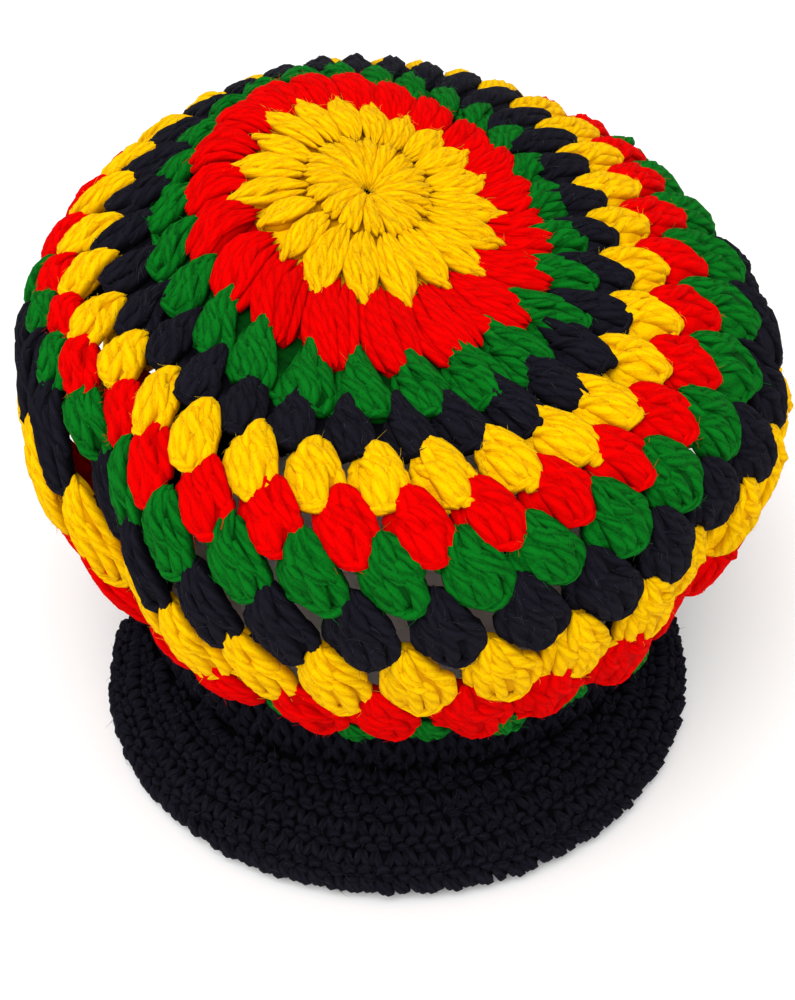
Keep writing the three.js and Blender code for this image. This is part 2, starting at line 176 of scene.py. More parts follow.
@dataclass
class Stitching:
    """Collects the surfaces of one piece and turns them into one mesh.

    Every strand starts at its own place in the twist, up to twist_start millimetres along it.
    Hairs are hair_length millimetres long. loop_stray is the chance difference of small
    stitches: across, down and lift.
    """

    seed: int
    twist_start: float = 40.0
    above_table: float = 0.1 * MM
    hair_radius: float = 0.065 * MM
    hair_above_table: float = 0.2 * MM
    hair_length: tuple[float, float] = (1.0, 3.6)
    loop_stray: Three = (0.14, 0.13, 0.32)
    hairs_per_loop: float = 1.5
    points: list[np.ndarray] = field(default_factory=list)
    shades: list[np.ndarray] = field(default_factory=list)
    corners: list[np.ndarray] = field(default_factory=list)
    sizes: list[np.ndarray] = field(default_factory=list)
    maps: list[np.ndarray] = field(default_factory=list)
    count: int = 0

    def __post_init__(self) -> None:
        """Start the random draws."""
        self.rng = np.random.default_rng(self.seed)

    def add_faces(self, corners: np.ndarray, uv: np.ndarray) -> None:
        """Add faces.

        Args:
            corners: the numbers of a face's points along the last axis.
            uv: millimetres along the yarn and turns round it, for each corner.
        """
        self.corners.append(corners.ravel())
        self.sizes.append(np.full(corners.size // corners.shape[-1], corners.shape[-1]))
        self.maps.append(uv.reshape(-1, 2))

    def closed_grid(self, points: np.ndarray, length: np.ndarray | float = 0.0,
                    shade: np.ndarray | float = 0.5, wraps: bool = False) -> None:
        """Add surfaces that close on themselves along their last grid axis.

        Args:
            points: (surfaces, rings, sides, 3). The first and last rings become flat ends.
            length: millimetres along each surface, of a shape that fits (surfaces, rings).
            shade: a number for each strand, the same all along it.
            wraps: True joins the last ring to the first one, and leaves the ends out.
        """
        surfaces, rings, sides, _ = points.shape
        here = self.count + np.arange(surfaces * rings * sides).reshape(surfaces, rings, sides)
        self.points.append(points.reshape(-1, 3))
        self.shades.append(np.repeat(np.broadcast_to(shade, surfaces), rings * sides))
        self.count += here.size
        spans = rings if wraps else rings - 1
        after = np.roll(here, -1, 1)
        corners = np.stack([here, np.roll(here, -1, 2), np.roll(after, -1, 2), after], -1)
        length = np.broadcast_to(length, (surfaces, rings))[..., None]
        following = np.roll(length, -1, 1)
        left, right = np.arange(sides) / sides, np.arange(1, sides + 1) / sides
        places = (length, left), (length, right), (following, right), (following, left)
        uv = np.stack([np.stack(np.broadcast_arrays(*place), -1) for place in places], -2)
        self.add_faces(corners[:, :spans], uv[:, :spans])
        if not wraps:
            ends = np.stack([here[:, 0, ::-1], here[:, -1]], 1)
            uv = np.broadcast_arrays(length[:, [0, -1]], np.broadcast_to(left, ends.shape))
            self.add_faces(ends, np.stack(uv, -1))

    def tubes(self, centres: np.ndarray, ups: np.ndarray, radii: np.ndarray | float,
              sides: int = 6, shade: float | None = None, hairs: int = 0) -> None:
        """Lay yarn along many paths at once, as closed round tubes.

        At each place of a path the section is centre - radius times (cosine of the turn times
        the outward direction, plus its sine times the sideways one), square to the path.

        Args:
            centres: (..., places, 3) middle lines.
            ups: directions out of the fabric, of a shape that fits centres.
            radii: radius of the yarn, of a shape that fits (..., places).
            sides: corners of the section.
            shade: the shade of every strand, instead of a random one from 0 to 1.
            hairs: how many loose fibres stand off them.
        """
        places = centres.shape[-2]
        ups = np.broadcast_to(ups, centres.shape).reshape(-1, places, 3)
        radii = np.broadcast_to(radii, centres.shape[:-1]).reshape(-1, places)
        centres = centres.reshape(-1, places, 3)
        raised = centres.copy()
        raised[..., 2] = np.maximum(raised[..., 2], radii + self.above_table)
        tangents = np.gradient(raised, axis=1)
        sideways = unit(np.cross(tangents, ups))
        outward = unit(np.cross(sideways, tangents))
        turn = corner_turns(sides)[:, None]
        section = np.cos(turn) * outward[:, :, None] + np.sin(turn) * sideways[:, :, None]
        points = raised[:, :, None] - radii[:, :, None, None] * section
        steps = np.linalg.norm(np.diff(raised, axis=1, prepend=raised[:, :1]), axis=-1)
        shades = self.rng.uniform(0, 1, len(radii)) if shade is None else shade
        start = self.rng.uniform(0, self.twist_start, (len(radii), 1))
        self.closed_grid(points, np.cumsum(steps, axis=1) / MM + start, shades)
        if hairs:
            self.fuzz(centres, ups, radii, hairs)

    def fuzz(self, centres: np.ndarray, ups: np.ndarray, radii: np.ndarray, hairs: int) -> None:
        """Let loose fibres stand off the yarn, as thin curved tubes of three sides.

        A hair starts on the outer half of a strand, runs along it and away from it, and curls:
        start + length times (s along the first direction + s squared times the curl).

        Args:
            centres: (paths, places, 3) middle lines of the strands.
            ups: (paths, places, 3) directions out of the fabric.
            radii: (paths, places) radius of the yarn.
            hairs: how many in all.
        """
        rng, each = self.rng, (hairs, 1)
        paths, places = radii.shape
        path, place = rng.integers(0, paths, hairs), rng.integers(1, places - 2, hairs)
        step = centres[path, place + 1] - centres[path, place]
        along = unit(step)
        sideways = unit(np.cross(along, ups[path, place]))
        turn = rng.uniform(-1.3, 1.3, each)
        normal = np.cross(sideways, along) * np.cos(turn) + sideways * np.sin(turn)
        start = centres[path, place] + step * rng.uniform(0, 1, each)
        start = start + normal * radii[path, place][:, None] * 0.9
        lean = rng.uniform(0.25, 0.8, each)
        first = unit(along * rng.choice([-1.0, 1.0], each) + normal * lean
                     + sideways * rng.normal(0, 0.5, each))
        curl = -normal * rng.uniform(0.0, 0.5, each) + rng.normal(0, 0.25, (hairs, 3))
        s = np.linspace(0, 1, 3)[:, None]
        length = rng.uniform(*self.hair_length, (hairs, 1, 1)) * MM
        lines = start[:, None] + length * (s * first[:, None] + s ** 2 * curl[:, None])
        lines[..., 2] = np.maximum(lines[..., 2], self.hair_above_table)
        thinning = self.hair_radius * (1 - 0.6 * s[:, 0])
        self.tubes(lines, normal[:, None], thinning, sides=3, shade=LOOSE)

    def loops(self, stitches: Frames, strands: tuple[Strand, ...], radius: float) -> None:
        """Lay the same small stitch at many flat places, one tube for each of its strands.

        A path's point is the stitch's middle + across times half its width + down times half
        its height + lift out of the fabric.

        Args:
            stitches: where the stitches are and how large.
            strands: the stitch's strands, across and down from -1 to 1.
            radius: radius of the yarn in millimetres.
        """
        shape = (len(stitches.middle), len(strands), 1)
        across, down, lift = (curve + self.rng.normal(0, stray, shape) for curve, stray in zip(
            strand_curves(strands), self.loop_stray))
        across = across * np.reshape(stitches.width, (-1, 1, 1)) / 2
        down = down * np.reshape(stitches.height, (-1, 1, 1)) / 2
        lift = (lift - END_DIP) * MM
        middle, side, ahead, out = (v[:, None, None] for v in (
            stitches.middle, stitches.side, stitches.ahead, stitches.out))
        centres = middle + side * across[..., None] + ahead * down[..., None] + out * lift[..., None]
        radii = radius * np.array([[s.thickness] for s in strands]) * END_ROUND * MM
        self.tubes(centres, out, radii, sides=5, hairs=int(self.hairs_per_loop * shape[0]))

    def piece(self, node: str, yarn: Yarn) -> None:
        """Make the mesh and its object, and let it stand for a solid.

        Args:
            node: the solid that the piece replaces.
            yarn: the yarn it is made of.
        """
        name = f"{node}_stitches"
        points, shades, corners, sizes, maps = (np.concatenate(arrays) for arrays in (
            self.points, self.shades, self.corners, self.sizes, self.maps))
        mesh = bpy.data.meshes.new(name)
        mesh.vertices.add(len(points))
        mesh.vertices.foreach_set("co", points.astype(np.float32).ravel())
        mesh.loops.add(len(corners))
        mesh.loops.foreach_set("vertex_index", corners.astype(np.int32))
        mesh.polygons.add(len(sizes))
        mesh.polygons.foreach_set("loop_start", (np.cumsum(sizes) - sizes).astype(np.int32))
        mesh.update(calc_edges=True)
        layer = mesh.uv_layers.new(name="yarn")
        layer.data.foreach_set("uv", maps.astype(np.float32).ravel())
        shade = mesh.attributes.new("shade", "FLOAT", "POINT")
        shade.data.foreach_set("value", shades.astype(np.float32))
        mesh.shade_smooth()
        mesh.materials.append(FINISHES[yarn].material())
        piece = bpy.data.objects.new(name, mesh)
        bpy.context.scene.collection.objects.link(piece)
        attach(piece, "root")
        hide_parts(node)
        log.info("%s: %d triangles", name, (sizes - 2).sum())


# Surfaces of the hat


@dataclass(frozen=True)
class Bell:
    """A bell curve in degrees round the head times one in rows, with its size in the middle.

    spread and length are where the curves have fallen to the share 1/e of that.
    """

    angle: float
    spread: float
    row: float
    length: float
    size: float

    def at(self, row: np.ndarray, angle: np.ndarray) -> np.ndarray:
        """Its value at those rows and angles."""
        turn = (angle - self.angle + 180) % 360 - 180
        return self.size * np.exp(-(turn / self.spread) ** 2 - ((row - self.row) / self.length) ** 2)


@dataclass
class Band:
    """The band: a wall round the head, drawn in a little at its rim, of single crochet.

    Rows of stitches lie on both faces, round a solid core. sunk is the metres from a face in to
    the middle lines of its stitches. The radii of yarn are in millimetres.
    """

    width: float = 176 * MM
    depth: float = 186 * MM
    height: float = 36 * MM
    wall: float = 7 * MM
    bulge: float = 1.2 * MM
    taper: float = 2 * MM
    rows: int = 6
    stitches: int = 88
    inner_stitches: int = 82
    yarn_radius: float = 1.75
    sunk: float = 1.3 * MM
    core_inset: float = 1.6 * MM
    rim_radius: float = 1.5
    rim_width: float = 5 * MM
    middle: np.ndarray = field(init=False)
    work: Stitching = field(default_factory=partial(Stitching, seed=31))

    def __post_init__(self) -> None:
        """Take the band's place from its own solid."""
        low, high = (np.array(corner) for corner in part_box("band"))
        self.middle = (low[:2] + high[:2]) / 2

    def normal(self, angle: np.ndarray) -> np.ndarray:
        """Level direction out of the ellipse at angles in degrees from the front."""
        turn = np.radians(angle)
        return unit(np.stack([np.sin(turn) / self.width, -np.cos(turn) / self.depth, 0 * turn], -1))

    def point(self, angle: np.ndarray, height: np.ndarray | float,
              out: np.ndarray | float) -> np.ndarray:
        """Points of the wall: the ellipse at that height, moved out from the centre line.

        The wall swells by a parabola halfway up and is drawn in evenly towards the rim.

        Args:
            angle: degrees round the head from the front.
            height: metres above the rim.
            out: metres outward from the wall's centre line.

        Returns:
            Points with a last axis of 3.
        """
        angle, height, out = np.broadcast_arrays(angle, height, out)
        turn = np.radians(angle)
        share = height / self.height
        inset = self.taper * (1 - share) - self.bulge * 4 * share * (1 - share)
        level = np.stack([self.middle[0] + self.width / 2 * np.sin(turn),
                          self.middle[1] - self.depth / 2 * np.cos(turn), height], -1)
        return level + self.normal(angle) * (out - inset)[..., None]

    def face(self, out: float, count: int, turned: float) -> Frames:
        """Places of the stitches on one face of the wall, brick-wise from row to row.

        Args:
            out: metres from the wall's centre line, negative on the inner face.
            count: stitches in a row.
            turned: degrees that the first stitch is turned.

        Returns:
            The places, row by row.
        """
        tall = self.height / self.rows * 0.97
        row = np.arange(self.rows)[:, None]
        angle = 360 / count * (np.arange(count) + 0.5 * (row % 2)) + turned
        height = (row + 0.5) * tall + 0.02 * self.height
        angle, height = (v.ravel() for v in np.broadcast_arrays(angle, height))
        normal = self.normal(angle) * np.sign(out)
        up = np.broadcast_to([0.0, 0.0, 1.0], normal.shape)
        left, middle, right = (self.point(angle + turn, height, out)
                               for turn in (-180 / count, 0, 180 / count))
        width = np.linalg.norm(right - left, axis=-1)
        return Frames(middle, np.cross(up, normal), -up, normal, width, tall)

    def add_core(self) -> None:
        """Add the closed ring that the stitches lie on, a little thinner than the wall."""
        angle = np.linspace(-180, 180, 121)[:-1, None]
        across = np.repeat([-1, 1], 4) * (self.wall / 2 - self.core_inset)
        height = np.array([0.03, 0.33, 0.66, 0.97, 0.97, 0.66, 0.33, 0.03]) * self.height
        self.work.closed_grid(self.point(angle, height, across)[None], wraps=True)

    def add_rim(self) -> None:
        """Whip the rim with short slanted strands across the wall's edge."""
        count = 2 * self.stitches
        angle = 360 / count * np.arange(count)
        middle = self.point(angle, (self.rim_radius + 0.9) * MM, 0)
        ahead = self.normal(angle)
        out = np.broadcast_to([0.0, 0.0, -1.0], ahead.shape)
        frames = Frames(middle, np.cross(out, ahead), ahead, out, self.rim_width, self.wall * 0.8)
        self.work.loops(frames, WHIPPED_RIM, self.rim_radius)

    def dress(self) -> None:
        """Lay the core and the stitches as one piece."""
        self.add_core()
        out = self.wall / 2 - self.sunk
        for frames in self.face(out, self.stitches, 0), self.face(-out, self.inner_stitches, 2):
            self.work.loops(frames, SINGLE_CROCHET, self.yarn_radius)
        self.add_rim()
        self.work.piece("band", Yarn.BLACK)


@dataclass
class Crown:
    """The slouched crown as a surface of rows, counted from its centre, and angles.

    Each row is an ellipse. Its widths, shift and height are read from the section table
    through a smooth curve, then folds and gathers draw the fabric in. lining_half is half the
    thickness of a lining, in millimetres.
    """

    band: Band
    width: float = 230 * MM
    depth: float = 275 * MM
    rise: float = 130.5 * MM
    wall: float = 6 * MM
    gather_count: int = 14
    gather_depth: float = 2 * MM
    band_shift: float = 1 * MM
    fade_rows: float = 1.5
    lining_half: float = 1.4
    # Columns: half width, half depth, shift x, shift y, height, dip, lean. Widths are shares of
    # the crown's width, depths of its depth, and the last three of its rise.
    sections: tuple[tuple[float, ...], ...] = (
        (0.000, 0.000, -0.030, -0.033, 1.000, 0.000, 0.000),
        (0.164, 0.157, -0.031, -0.026, 0.968, 0.062, -0.056),
        (0.219, 0.240, -0.029, -0.018, 0.945, 0.060, -0.044),
        (0.279, 0.315, -0.022, -0.012, 0.902, 0.045, -0.030),
        (0.345, 0.382, -0.020, -0.006, 0.855, 0.014, -0.024),
        (0.410, 0.444, -0.019, -0.001, 0.796, -0.018, -0.014),
        (0.467, 0.492, -0.011, 0.001, 0.702, -0.036, 0.010),
        (0.497, 0.500, 0.005, -0.004, 0.548, -0.052, 0.036),
        (0.500, 0.480, 0.018, -0.010, 0.384, -0.056, 0.055),
        (0.467, 0.450, 0.024, -0.014, 0.224, -0.042, 0.060),
        (0.412, 0.412, 0.030, -0.013, 0.098, -0.012, 0.012),
    )
    # Places where the slouched fabric sinks in, by metres.
    folds: tuple[Bell, ...] = (
        Bell(-48, 8, 6.9, 2.3, 12.0 * MM),
        Bell(47, 8, 8.4, 1.3, 6.9 * MM),
        Bell(-118, 12, 8.2, 1.8, 7.8 * MM),
        Bell(172, 11, 7.8, 2.0, 8.7 * MM),
        Bell(112, 12, 8.0, 1.8, 7.4 * MM),
    )
    # Places where rounds sit lower on the fabric than evenly, by rows, or higher if negative.
    slips: tuple[Bell, ...] = (
        Bell(-20, 70, 2.6, 1.2, 0.45),
        Bell(155, 60, 2.8, 1.5, -1.0),
        Bell(95, 32, 5.2, 2.2, -1.1),
        Bell(-70, 20, 7.0, 1.6, -1.1),
        Bell(0, 1000, 8.5, 2.0, -0.33),
        # The last one moves the yarn alone, so that no stitch on the left lobe is stretched.
        Bell(-76, 22, 9.0, 1.0, -0.5),
    )
    table: np.ndarray = field(init=False)
    middle: np.ndarray = field(init=False)

    def __post_init__(self) -> None:
        """Add the seam with the band as the last section, and place the crown over it."""
        seam = (self.band.width / 2 / self.width, self.band.depth / 2 / self.depth,
                self.band_shift / self.width, 0, 0, 0, 0)
        self.table = np.array([*self.sections, seam])
        self.middle = self.band.middle - [self.band_shift, 0]

    @property
    def seam_row(self) -> int:
        """Row at which the crown meets the band."""
        return len(self.table) - 1

    def inward(self, row: np.ndarray, angle: np.ndarray) -> np.ndarray:
        """How far folds and gathers draw the fabric in.

        The gathers are a cosine round the head, strongest one row above the seam. Folds and
        gathers fade out over the last rows to the seam.

        Args:
            row: rows of the surface.
            angle: degrees round the head.

        Returns:
            Metres.
        """
        gathers = self.gather_depth * np.cos(self.gather_count * np.radians(angle))
        gathers = gathers * np.exp(-(row - self.seam_row + 1) ** 2)
        depth = sum((fold.at(row, angle) for fold in self.folds), gathers)
        return depth * np.minimum(1, (self.seam_row - row) / self.fade_rows)

    def place(self, row: np.ndarray, angle: np.ndarray) -> np.ndarray:
        """Row of the surface where a round's own row lies, which is the same at both ends."""
        lower = sum(slip.at(row, angle) for slip in self.slips)
        return row + lower * np.minimum(np.minimum(1, row), (self.seam_row - row) / 2)

    def girth(self, row: np.ndarray | float) -> np.ndarray:
        """Metres round the crown at a row, as if it were the round mean of its ellipse."""
        values = smooth_through(self.table, np.clip(row, 0, self.seam_row))
        return np.pi * (self.width * values[..., 0] + self.depth * values[..., 1])

    def point(self, row: np.ndarray, angle: np.ndarray) -> np.ndarray:
        """Points on the centre line of the wall: an ellipse for each row, drawn in and tilted.

        Args:
            row: rows from the centre of the crown, whole or fractional.
            angle: degrees round the head from the front, of a shape that fits row's.

        Returns:
            Points in metres with a last axis of 3.
        """
        row = self.place(row, angle)
        values = np.moveaxis(smooth_through(self.table, row), -1, 0)
        half_width, half_depth, shift_x, shift_y, height, dip, lean = values
        across, along = np.sin(np.radians(angle)), -np.cos(np.radians(angle))
        inward = self.inward(row, angle)
        return np.stack([
            self.middle[0] + self.width * shift_x + (self.width * half_width - inward) * across,
            self.middle[1] + self.depth * shift_y + (self.depth * half_depth - inward) * along,
            self.band.height + self.rise * (height + dip * along + lean * across),
        ], -1)

    def normal(self, row: np.ndarray, angle: np.ndarray) -> np.ndarray:
        """Direction out of the fabric, from the slopes down the rows and round the head."""
        down = self.point(row + 0.1, angle) - self.point(row - 0.1, angle)
        return unit(np.cross(down, self.point(row, angle + 3) - self.point(row, angle - 3)))

    def lining(self, inner: float, outer: float, sunk: float) -> np.ndarray:
        """Points of a thin ring of matted yarn that closes the fabric under dense stitches.

        The turn round its section runs from the inner row to the outer one as the cosine, and
        through the wall as the sine.

        Args:
            inner: row of the ring's inner edge.
            outer: row of its outer edge.
            sunk: millimetres from the wall's centre line in to the ring's middle.

        Returns:
            One grid of points, round the head and round the section.
        """
        angle = np.linspace(-180, 180, 97)[:-1, None]
        turn = corner_turns(12)
        row = (inner + outer) / 2 - (outer - inner) / 2 * np.cos(turn)
        height = (self.lining_half * np.sin(turn) - sunk) * MM
        return (self.point(row, angle) + self.normal(row, angle) * height[:, None])[None]


# Finishes


def add_node(tree: bpy.types.NodeTree, kind: str, settings: dict | None = None,
             inputs: dict | None = None) -> bpy.types.Node:
    """Add a shader node with its settings, values and links.

    Args:
        tree: the material's nodes.
        kind: Blender's name of the node type, without ShaderNode in front.
        settings: properties of the node by name.
        inputs: by input name or number, a value, an output to link, or a node whose first
            output is linked.

    Returns:
        The new node.
    """
    node = tree.nodes.new("ShaderNode" + kind)
    for name, value in (settings or {}).items():
        setattr(node, name, value)
    for name, value in (inputs or {}).items():
        if isinstance(value, bpy.types.Node):
            value = value.outputs[0]
        if isinstance(value, bpy.types.NodeSocket):
            tree.links.new(value, node.inputs[name])
        else:
            node.inputs[name].default_value = value
    return node


@dataclass(frozen=True)
class WorstedYarn:
    """Spun and plied worsted yarn, dyed in one colour.

    Soft plies wind round each other, so the eye sees slanting ridges with dark valleys, fine
    fibres along each ply, and loose fibres that stand off and catch the light. Of its three
    colours the first is the yarn lit, the second its painted shade, which darkens the valleys
    and the sides of the yarn, and the third a painted highlight on the loose fibres.
    turn_length is the millimetres of yarn in which a ply goes once round. fibre_stretch is how
    often the fibres' noise changes in a millimetre along the yarn.
    """

    name: str
    lit: str
    painted_shade: str
    # A painted highlight for the loose fibres, also the tint of the sheen.
    loose: str
    specular: float
    sheen: float
    relief: float = 1.0
    roughness: float = 0.9
    plies: int = 4
    turn_length: float = 26.0
    fibres_per_ply: float = 6.0
    fibre_stretch: float = 0.16
    # Fuzz is finer than a pixel, so it is drawn at 0.8 mm, as coarse as it needs to show.
    fuzz_size: float = 0.8 * MM
    relief_height: float = 0.35 * MM

    @cache
    def material(self) -> bpy.types.Material:
        """Build the node material.

        The ply number is plies times (turns round the yarn + length over the length of a turn of
        twist). A ply's height is half of one less the cosine of a full circle times that number.
        Noise stretched along the plies gives fibres, and finer noise gives fuzz. Painted shade
        darkens the colour where the height is low, in the ply valleys, mottled by the fibres and
        fuzz. The colour is painted lightest on the outermost side of the yarn, where the cosine of
        the turn round it is -1, with painted shade at its sides.

        Returns:
            The material, which reads the UV map "yarn" and the attribute "shade".
        """
        material = bpy.data.materials.new(self.name)
        material.use_nodes = True
        material.node_tree.nodes.clear()
        add = partial(add_node, material.node_tree)
        times, times_plus, cosine = (
            {"operation": name} for name in ("MULTIPLY", "MULTIPLY_ADD", "COSINE"))
        place = add("SeparateXYZ", inputs={0: add("UVMap", {"uv_map": "yarn"})})
        strand = add("Attribute", {"attribute_name": "shade"}).outputs["Fac"]
        turns = add("Math", times_plus, {0: place, 1: 1 / self.turn_length, 2: place.outputs[1]})
        angle = add("Math", times, {0: turns, 1: 2 * math.pi * self.plies})
        ridge = add("Math", times_plus, {0: add("Math", cosine, {0: angle}), 1: -0.5, 2: 0.5})
        # Each strand reads its own part of the noise, far from that of the next shade.
        fibre_place = add("CombineXYZ", inputs={
            0: add("Math", times, {0: turns, 1: self.fibres_per_ply * self.plies}),
            1: add("Math", times, {0: place, 1: self.fibre_stretch}),
            2: add("Math", times, {0: strand, 1: 61.0})})
        fibres = add("TexNoise", inputs={
            "Vector": fibre_place, "Scale": 1.0, "Detail": 3.0, "Roughness": 0.7})
        fuzz = add("TexNoise", inputs={
            "Vector": add("TexCoord").outputs["Object"], "Scale": 1 / self.fuzz_size,
            "Detail": 4.0, "Roughness": 0.7})
        height = add("Math", times_plus, {0: ridge, 1: 0.34, 2: fibres})
        height = add("Math", times_plus, {0: fuzz, 1: 0.7, 2: height})
        bump = add("Bump", inputs={
            "Strength": 0.7 * self.relief, "Distance": self.relief_height, "Height": height})
        # Painted shade: low heights, the ply valleys, take the darker colour, mottled by the fibre
        # and fuzz noise.
        depth = add("MapRange", inputs={
            "Value": height, "From Min": 0.72, "From Max": 1.12, "To Min": 0.34})
        # Painted shade: the sides of each tube, by the turn round it, take the darker colour.
        round_wave = add("Math", cosine, {
            0: add("Math", times, {0: place.outputs[1], 1: 2 * math.pi})})
        painted_side_shade = add("MapRange", {"interpolation_type": "SMOOTHSTEP"}, {
            "Value": round_wave, "From Min": 0.3, "From Max": -0.7, "To Min": 0.3})
        # Both painted shades together set the mix from the shaded colour to the lit one.
        light = add("Math", times, {0: painted_side_shade, 1: depth})
        colour = add("Mix", {"data_type": "RGBA"}, {
            "Factor": light, 6: srgb(self.painted_shade), 7: srgb(self.lit)})
        own_value = add("MapRange", inputs={"Value": strand, "To Min": 0.92, "To Max": 1.05})
        tinted = add("HueSaturation", inputs={"Value": own_value, "Color": colour.outputs[2]})
        # Loose fibres take the loose colour, a painted highlight where they catch the light.
        is_loose = add("MapRange", inputs={"Value": strand, "From Min": 1, "From Max": LOOSE})
        surface = add("Mix", {"data_type": "RGBA"}, {
            "Factor": is_loose, 6: tinted.outputs[0], 7: srgb(self.loose)})
        shader = add("BsdfPrincipled", inputs={
            "Base Color": surface.outputs[2], "Roughness": self.roughness,
            "Specular IOR Level": self.specular, "Sheen Weight": self.sheen,
            "Sheen Roughness": 0.4, "Sheen Tint": srgb(self.loose), "Normal": bump})
        add("OutputMaterial", inputs={"Surface": shader})
        return material


# Each finish gives the yarn lit, its painted shade, and a painted highlight for loose fibres.
FINISHES = {
    Yarn.YELLOW: WorstedYarn("worsted_yarn_yellow", lit="f2be00", painted_shade="bc7800", loose="ffd830",
                             specular=0.02, sheen=0.2),
    Yarn.RED: WorstedYarn("worsted_yarn_red", lit="d80000", painted_shade="a00000", loose="e81408",
                          relief=0.45, specular=0.02, sheen=0.1),
    Yarn.GREEN: WorstedYarn("worsted_yarn_green", lit="056a18", painted_shade="001002", loose="208a2e",
                            specular=0.04, sheen=0.1),
    Yarn.BLACK: WorstedYarn("worsted_yarn_black", lit="17161f", painted_shade="020204", loose="5a5860",
                            relief=1.6, specular=0.04, sheen=0.04),
}


# Stitches


@dataclass(frozen=True)
class StitchForm:
    """Outline and relief of one kind of stitch, read at even steps from its top to its foot.

    half_width is a share of the pitch, yarn included, and height is in millimetres above the
    wall's centre. At the sides the height falls by edge_drop, and the skew lifts the right side
    and lowers the left one, as each stitch lies partly over its neighbour. The chance
    differences of a strand are shares of the half width and the height, and millimetres up.
    """

    half_width: tuple[float, ...]
    height: tuple[float, ...]
    strands: tuple[Strand, ...]
    edge_drop: float
    skew: float = 0.3
    yarn_radius: float = 1.85
    stray_across: float = 0.055
    stray_down: float = 0.015
    stray_up: float = 0.25
    stray_thickness: float = 0.09


# The values of a strand are across, down and lift at its start, middle and end, then its
# thickness and its stray.
CLUSTER = StitchForm(
    half_width=(0.16, 0.26, 0.34, 0.40, 0.45, 0.465, 0.44, 0.38, 0.29),
    height=(1.8, 3.4, 4.3, 4.8, 5.0, 4.9, 4.6, 4.1, 3.5),
    strands=(
        Strand((-0.6, -1.0, -1.0), (0.03, 0.30, 0.58), (0.0, 0.1, -0.5)),
        Strand((-0.2, -0.45, -0.3), (0.0, 0.28, 0.56), (0.2, 0.3, -0.7), 1.1),
        Strand((0.2, 0.15, 0.4), (0.0, 0.30, 0.62), (0.1, 0.0, -0.6)),
        Strand((0.5, 0.85, 1.0), (0.03, 0.30, 0.60), (0.0, 0.2, -0.4), 1.1),
        Strand((-0.9, -1.0, -0.85), (0.42, 0.70, 0.97), (-0.6, 0.0, 0.2), 1.15),
        Strand((-0.6, -0.45, -0.5), (0.40, 0.68, 0.98), (-0.6, 0.3, 0.2), 1.15),
        Strand((-0.2, 0.0, -0.1), (0.44, 0.70, 0.98), (-0.6, 0.0, 0.2), 1.15),
        Strand((0.3, 0.5, 0.4), (0.42, 0.68, 0.98), (-0.6, 0.3, 0.2), 1.15),
        Strand((0.8, 1.0, 0.85), (0.42, 0.68, 0.96), (-0.6, 0.1, 0.2), 1.15),
        Strand((-0.9, -0.5, -0.1), (0.34, 0.48, 0.66), (-0.6, 0.5, -0.5), 0.9, 1.5),
        Strand((-0.3, 0.15, 0.6), (0.26, 0.42, 0.58), (-0.6, 0.5, -0.5), 0.9, 1.5),
        Strand((0.4, 0.75, 1.0), (0.34, 0.48, 0.68), (-0.6, 0.4, -0.5), 0.9, 1.5),
        Strand((-1.0, -0.3, 0.5), (0.90, 0.94, 0.95), (-0.8, 0.0, -0.3), 0.75),
        Strand((-0.3, 0.4, 1.0), (0.96, 0.955, 0.90), (-0.3, 0.1, -0.5), 0.75),
    ),
    edge_drop=3.0,
    skew=0.9,
    yarn_radius=2.05,
)

BROAD_CLUSTER = StitchForm(
    half_width=(0.50, 0.54, 0.56, 0.57, 0.56, 0.54, 0.50, 0.43, 0.31),
    height=(2.0, 3.8, 4.6, 5.0, 5.1, 5.0, 4.7, 4.3, 3.6),
    strands=(
        Strand((-0.95, -1.0, -0.9), (0.0, 0.46, 0.94), (0.0, 0.0, -0.3)),
        Strand((-0.6, -0.64, -0.5), (0.0, 0.46, 0.97)),
        Strand((-0.25, -0.3, -0.2), (0.0, 0.46, 0.99), (0.0, 0.1, 0.0)),
        Strand((0.1, 0.08, 0.2), (0.0, 0.46, 0.98)),
        Strand((0.5, 0.48, 0.55), (0.0, 0.46, 0.96)),
        Strand((0.9, 0.9, 0.95), (0.0, 0.46, 0.92), (0.0, 0.0, -0.2)),
        Strand((-0.8, -0.5, -0.2), (0.3, 0.55, 0.82), (-0.4, 0.2, -0.2), 0.85, 2.0),
        Strand((0.0, 0.3, 0.7), (0.2, 0.48, 0.78), (-0.4, 0.2, -0.2), 0.85, 2.0),
    ),
    edge_drop=1.2,
)

PETAL = StitchForm(
    half_width=(0.55, 0.56, 0.56, 0.55, 0.49, 0.31, 0.10),
    height=(3.2, 3.9, 4.3, 4.3, 4.0, 3.4, 2.8),
    strands=(
        Strand((-0.9, -1.0, -0.3), (0.0, 0.5, 0.95)),
        Strand((-0.35, -0.45, -0.3), (-0.04, 0.42, 0.86), (0.0, 0.2, 0.2)),
        Strand((0.25, 0.2, 0.3), (-0.02, 0.42, 0.9), (0.0, 0.0, 0.2)),
        Strand((0.9, 0.95, 0.4), (0.0, 0.5, 0.93)),
        Strand((-0.5, 0.0, 0.6), (0.66, 0.88, 1.08), (-0.2, 0.4, 0.2), 0.75),
        Strand((-0.9, -0.5, 0.1), (0.12, 0.36, 0.6), (-0.3, 0.4, -0.1), 0.8, 1.5),
        Strand((0.0, 0.5, 0.9), (0.2, 0.42, 0.66), (-0.3, 0.3, -0.2), 0.8, 1.5),
    ),
    edge_drop=0.6,
    yarn_radius=1.65,
)

